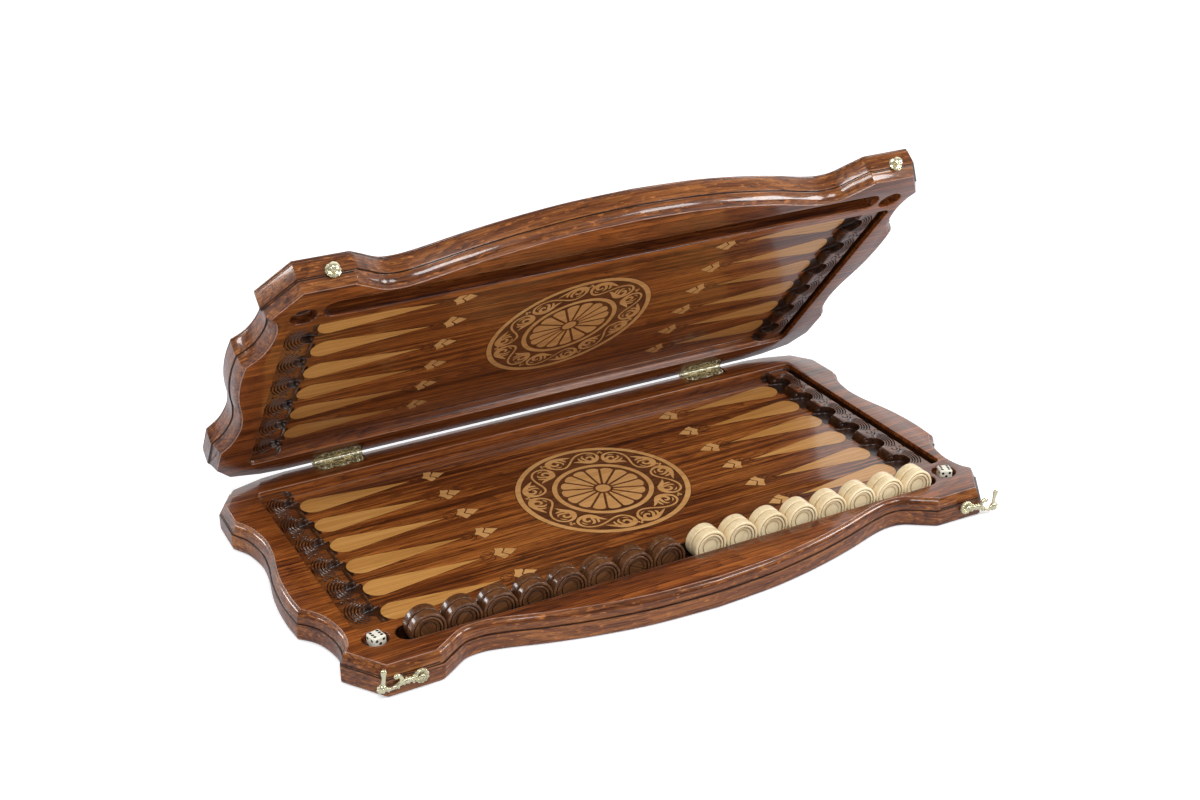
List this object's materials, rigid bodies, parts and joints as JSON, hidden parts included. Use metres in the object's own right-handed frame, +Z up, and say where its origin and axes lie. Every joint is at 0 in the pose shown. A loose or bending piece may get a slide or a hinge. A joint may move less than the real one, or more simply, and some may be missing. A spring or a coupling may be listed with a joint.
{
  "type": "backgammon set",
  "caption": "Folding carved wooden backgammon set with hinged playing trays, inlaid points, turned checkers in a front trough, dice in end pockets and swinging hook catches.",
  "frame": {"origin": "centre of the base tray's flat underside at mid-length, on the table plane, level with the middle of the six points", "axes": "+X along the length to the right, +Y from the front (hooks) to the back (hinges), +Z up"},
  "size_m": [0.5952, 0.3458, 0.2907],
  "materials": {
    "walnut": "gloss",
    "field_wood": "gloss",
    "inlay_maple": "satin",
    "checker_dark": "gloss",
    "checker_light": "satin",
    "ivory": "gloss",
    "antique_brass": "satin",
    "pale_gold": "polished"
  },
  "bodies": {
    "base": {"base_tray": "walnut", "hinge_left_base_leaf": "antique_brass", "hinge_left_pin": "antique_brass", "hinge_left_base_nail_1": "antique_brass", "hinge_left_base_nail_2": "antique_brass", "hinge_left_base_nail_3": "antique_brass", "hook_left_screw": "pale_gold", "hinge_right_base_leaf": "antique_brass", "hinge_right_pin": "antique_brass", "hinge_right_base_nail_1": "antique_brass", "hinge_right_base_nail_2": "antique_brass", "hinge_right_base_nail_3": "antique_brass", "hook_right_screw": "pale_gold"},
    "lid": {"lid_tray": "walnut", "hinge_left_lid_leaf": "antique_brass", "hinge_left_lid_nail_1": "antique_brass", "hinge_left_lid_nail_2": "antique_brass", "hinge_left_lid_nail_3": "antique_brass", "knob_left": "pale_gold", "hinge_right_lid_leaf": "antique_brass", "hinge_right_lid_nail_1": "antique_brass", "hinge_right_lid_nail_2": "antique_brass", "hinge_right_lid_nail_3": "antique_brass", "knob_right": "pale_gold"},
    "hook_left": {"hook_left": "pale_gold"},
    "hook_right": {"hook_right": "pale_gold"},
    "checker_dark_1a": {"checker_dark_1a": "checker_dark"},
    "checker_light_1a": {"checker_light_1a": "checker_light"},
    "checker_dark_1b": {"checker_dark_1b": "checker_dark"},
    "checker_light_1b": {"checker_light_1b": "checker_light"},
    "checker_dark_2a": {"checker_dark_2a": "checker_dark"},
    "checker_light_2a": {"checker_light_2a": "checker_light"},
    "checker_dark_2b": {"checker_dark_2b": "checker_dark"},
    "checker_light_2b": {"checker_light_2b": "checker_light"},
    "checker_dark_3a": {"checker_dark_3a": "checker_dark"},
    "checker_light_3a": {"checker_light_3a": "checker_light"},
    "checker_dark_3b": {"checker_dark_3b": "checker_dark"},
    "checker_light_3b": {"checker_light_3b": "checker_light"},
    "checker_dark_4a": {"checker_dark_4a": "checker_dark"},
    "checker_light_4a": {"checker_light_4a": "checker_light"},
    "checker_dark_4b": {"checker_dark_4b": "checker_dark"},
    "checker_light_4b": {"checker_light_4b": "checker_light"},
    "checker_dark_5a": {"checker_dark_5a": "checker_dark"},
    "checker_light_5a": {"checker_light_5a": "checker_light"},
    "checker_dark_5b": {"checker_dark_5b": "checker_dark"},
    "checker_light_5b": {"checker_light_5b": "checker_light"},
    "checker_dark_6a": {"checker_dark_6a": "checker_dark"},
    "checker_light_6a": {"checker_light_6a": "checker_light"},
    "checker_dark_6b": {"checker_dark_6b": "checker_dark"},
    "checker_light_6b": {"checker_light_6b": "checker_light"},
    "checker_dark_7a": {"checker_dark_7a": "checker_dark"},
    "checker_light_7a": {"checker_light_7a": "checker_light"},
    "checker_dark_7b": {"checker_dark_7b": "checker_dark"},
    "checker_light_7b": {"checker_light_7b": "checker_light"},
    "checker_dark_8a": {"checker_dark_8a": "checker_dark"},
    "checker_light_8a": {"checker_light_8a": "checker_light"},
    "checker_dark_8b": {"checker_dark_8b": "checker_dark"},
    "checker_light_8b": {"checker_light_8b": "checker_light"},
    "die_left": {"die_left": "ivory"},
    "die_right": {"die_right": "ivory"}
  },
  "joints": [
    {"name": "lid_hinge", "type": "hinge", "parent": "base", "child": "lid", "pos_m": [0, 0.1423, 0.0245], "axis": [-1, 0, 0], "range_deg": [-50, 125]},
    {"name": "hook_left_swing", "type": "hinge", "parent": "base", "child": "hook_left", "pos_m": [-0.2382, -0.1736, 0.0124], "axis": [0, 1, 0], "range_deg": [0, 90]},
    {"name": "hook_right_swing", "type": "hinge", "parent": "base", "child": "hook_right", "pos_m": [0.2461, -0.1736, 0.0124], "axis": [0, -1, 0], "range_deg": [0, 99]},
    {"name": "checker_dark_1a_lift", "type": "slide", "parent": "base", "child": "checker_dark_1a", "axis": [0, 0, 1], "range_m": [0, 0.04]},
    {"name": "checker_light_1a_lift", "type": "slide", "parent": "base", "child": "checker_light_1a", "axis": [0, 0, 1], "range_m": [0, 0.04]},
    {"name": "checker_dark_1b_lift", "type": "slide", "parent": "base", "child": "checker_dark_1b", "axis": [0, 0, 1], "range_m": [0, 0.04]},
    {"name": "checker_light_1b_lift", "type": "slide", "parent": "base", "child": "checker_light_1b", "axis": [0, 0, 1], "range_m": [0, 0.04]},
    {"name": "checker_dark_2a_lift", "type": "slide", "parent": "base", "child": "checker_dark_2a", "axis": [0, 0, 1], "range_m": [0, 0.04]},
    {"name": "checker_light_2a_lift", "type": "slide", "parent": "base", "child": "checker_light_2a", "axis": [0, 0, 1], "range_m": [0, 0.04]},
    {"name": "checker_dark_2b_lift", "type": "slide", "parent": "base", "child": "checker_dark_2b", "axis": [0, 0, 1], "range_m": [0, 0.04]},
    {"name": "checker_light_2b_lift", "type": "slide", "parent": "base", "child": "checker_light_2b", "axis": [0, 0, 1], "range_m": [0, 0.04]},
    {"name": "checker_dark_3a_lift", "type": "slide", "parent": "base", "child": "checker_dark_3a", "axis": [0, 0, 1], "range_m": [0, 0.04]},
    {"name": "checker_light_3a_lift", "type": "slide", "parent": "base", "child": "checker_light_3a", "axis": [0, 0, 1], "range_m": [0, 0.04]},
    {"name": "checker_dark_3b_lift", "type": "slide", "parent": "base", "child": "checker_dark_3b", "axis": [0, 0, 1], "range_m": [0, 0.04]},
    {"name": "checker_light_3b_lift", "type": "slide", "parent": "base", "child": "checker_light_3b", "axis": [0, 0, 1], "range_m": [0, 0.04]},
    {"name": "checker_dark_4a_lift", "type": "slide", "parent": "base", "child": "checker_dark_4a", "axis": [0, 0, 1], "range_m": [0, 0.04]},
    {"name": "checker_light_4a_lift", "type": "slide", "parent": "base", "child": "checker_light_4a", "axis": [0, 0, 1], "range_m": [0, 0.04]},
    {"name": "checker_dark_4b_lift", "type": "slide", "parent": "base", "child": "checker_dark_4b", "axis": [0, 0, 1], "range_m": [0, 0.04]},
    {"name": "checker_light_4b_lift", "type": "slide", "parent": "base", "child": "checker_light_4b", "axis": [0, 0, 1], "range_m": [0, 0.04]},
    {"name": "checker_dark_5a_lift", "type": "slide", "parent": "base", "child": "checker_dark_5a", "axis": [0, 0, 1], "range_m": [0, 0.04]},
    {"name": "checker_light_5a_lift", "type": "slide", "parent": "base", "child": "checker_light_5a", "axis": [0, 0, 1], "range_m": [0, 0.04]},
    {"name": "checker_dark_5b_lift", "type": "slide", "parent": "base", "child": "checker_dark_5b", "axis": [0, 0, 1], "range_m": [0, 0.04]},
    {"name": "checker_light_5b_lift", "type": "slide", "parent": "base", "child": "checker_light_5b", "axis": [0, 0, 1], "range_m": [0, 0.04]},
    {"name": "checker_dark_6a_lift", "type": "slide", "parent": "base", "child": "checker_dark_6a", "axis": [0, 0, 1], "range_m": [0, 0.04]},
    {"name": "checker_light_6a_lift", "type": "slide", "parent": "base", "child": "checker_light_6a", "axis": [0, 0, 1], "range_m": [0, 0.04]},
    {"name": "checker_dark_6b_lift", "type": "slide", "parent": "base", "child": "checker_dark_6b", "axis": [0, 0, 1], "range_m": [0, 0.04]},
    {"name": "checker_light_6b_lift", "type": "slide", "parent": "base", "child": "checker_light_6b", "axis": [0, 0, 1], "range_m": [0, 0.04]},
    {"name": "checker_dark_7a_lift", "type": "slide", "parent": "base", "child": "checker_dark_7a", "axis": [0, 0, 1], "range_m": [0, 0.04]},
    {"name": "checker_light_7a_lift", "type": "slide", "parent": "base", "child": "checker_light_7a", "axis": [0, 0, 1], "range_m": [0, 0.04]},
    {"name": "checker_dark_7b_lift", "type": "slide", "parent": "base", "child": "checker_dark_7b", "axis": [0, 0, 1], "range_m": [0, 0.04]},
    {"name": "checker_light_7b_lift", "type": "slide", "parent": "base", "child": "checker_light_7b", "axis": [0, 0, 1], "range_m": [0, 0.04]},
    {"name": "checker_dark_8a_lift", "type": "slide", "parent": "base", "child": "checker_dark_8a", "axis": [0, 0, 1], "range_m": [0, 0.04]},
    {"name": "checker_light_8a_lift", "type": "slide", "parent": "base", "child": "checker_light_8a", "axis": [0, 0, 1], "range_m": [0, 0.04]},
    {"name": "checker_dark_8b_lift", "type": "slide", "parent": "base", "child": "checker_dark_8b", "axis": [0, 0, 1], "range_m": [0, 0.04]},
    {"name": "checker_light_8b_lift", "type": "slide", "parent": "base", "child": "checker_light_8b", "axis": [0, 0, 1], "range_m": [0, 0.04]},
    {"name": "die_left_lift", "type": "slide", "parent": "base", "child": "die_left", "axis": [0, 0, 1], "range_m": [0, 0.04]},
    {"name": "die_right_lift", "type": "slide", "parent": "base", "child": "die_right", "axis": [0, 0, 1], "range_m": [0, 0.04]}
  ]
}
